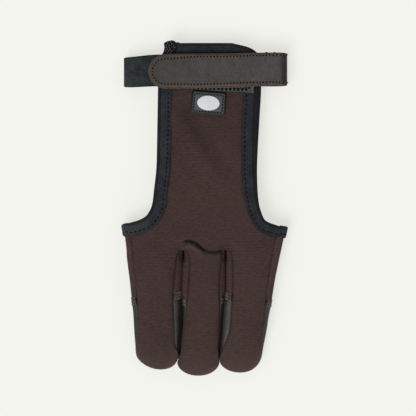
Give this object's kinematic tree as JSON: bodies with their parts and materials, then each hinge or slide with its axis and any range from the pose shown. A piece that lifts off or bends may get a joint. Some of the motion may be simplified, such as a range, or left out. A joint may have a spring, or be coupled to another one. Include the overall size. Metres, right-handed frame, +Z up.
{
  "type": "archery glove",
  "caption": "Open-wristed archery glove with leather-faced finger stalls, a bound tongue over the back of the hand and a closed elastic wrist strap.",
  "frame": {"origin": "middle of the glove's footprint, on the table it lies on palm-side down", "axes": "+Y from the fingertips to the wrist, +X across the knuckles, +Z up out of the back of the hand"},
  "size_m": [0.107, 0.2178, 0.0187],
  "materials": {
    "brown_cloth": "fine ribbed knit cloth, matt",
    "dark_leather": "smooth dark leather, soft sheen",
    "binding_tape": "twill binding tape, matt",
    "elastic": "ribbed woven elastic, matt",
    "tab_leather": "grained leather with stitched edge",
    "hook_pad": "hook-and-loop tape, matt",
    "label": "moulded rubber, matt",
    "label_inlay": "moulded rubber, matt"
  },
  "bodies": {
    "root": {"back_panel": "brown_cloth", "palm_panel": "brown_cloth", "left_fourchette": "brown_cloth", "right_fourchette": "brown_cloth", "left_facing": "dark_leather", "middle_facing": "dark_leather", "right_facing": "dark_leather", "edge_binding": "binding_tape", "wrist_elastic": "elastic", "closure_tab": "tab_leather", "loop_pad": "hook_pad", "label_patch": "label", "label_emblem": "label_inlay"}
  },
  "joints": []
}
